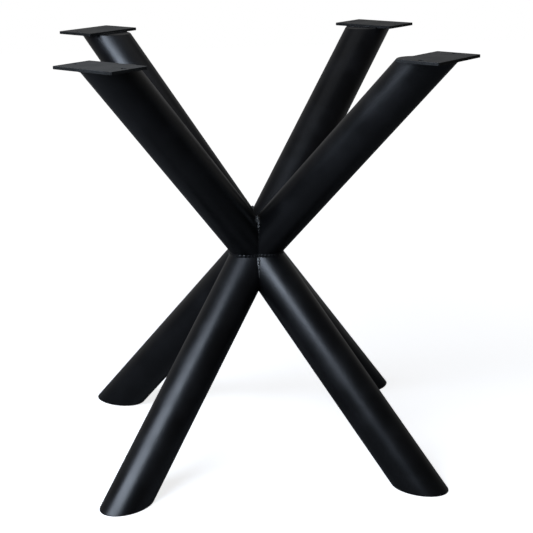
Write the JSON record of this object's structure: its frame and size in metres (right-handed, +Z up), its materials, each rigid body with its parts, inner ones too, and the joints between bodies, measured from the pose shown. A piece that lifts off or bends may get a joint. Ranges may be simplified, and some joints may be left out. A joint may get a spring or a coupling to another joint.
{
  "type": "spider table base",
  "caption": "Black steel spider table base: round tubes mitred and welded at a central hub, splayed up to flat screw plates and down to level-cut feet.",
  "frame": {"origin": "on the floor under the hub, the middle of the box round the base", "axes": "+Z up, -Y the side that the picture shows in front, +X its right; the legs lie over the diagonals of X and Y"},
  "size_m": [0.6718, 0.6718, 0.735],
  "materials": {
    "tube_coating": "satin black powder coat",
    "plate_coating": "matt black powder coat on flat bar",
    "weld_coating": "satin black powder coat over rippled weld beads"
  },
  "bodies": {
    "root": {"foot_closing_plate_back_left": "tube_coating", "foot_closing_plate_back_right": "tube_coating", "foot_closing_plate_front_left": "tube_coating", "foot_closing_plate_front_right": "tube_coating", "lower_leg_back_left": "tube_coating", "lower_leg_back_right": "tube_coating", "lower_leg_front_left": "tube_coating", "lower_leg_front_right": "tube_coating", "mounting_plate_back_left": "plate_coating", "mounting_plate_back_right": "plate_coating", "mounting_plate_front_left": "plate_coating", "mounting_plate_front_right": "plate_coating", "top_closing_plate_back_left": "tube_coating", "top_closing_plate_back_right": "tube_coating", "top_closing_plate_front_left": "tube_coating", "top_closing_plate_front_right": "tube_coating", "upper_leg_back_left": "tube_coating", "upper_leg_back_right": "tube_coating", "upper_leg_front_left": "tube_coating", "upper_leg_front_right": "tube_coating", "weld_beads": "weld_coating"}
  },
  "joints": []
}
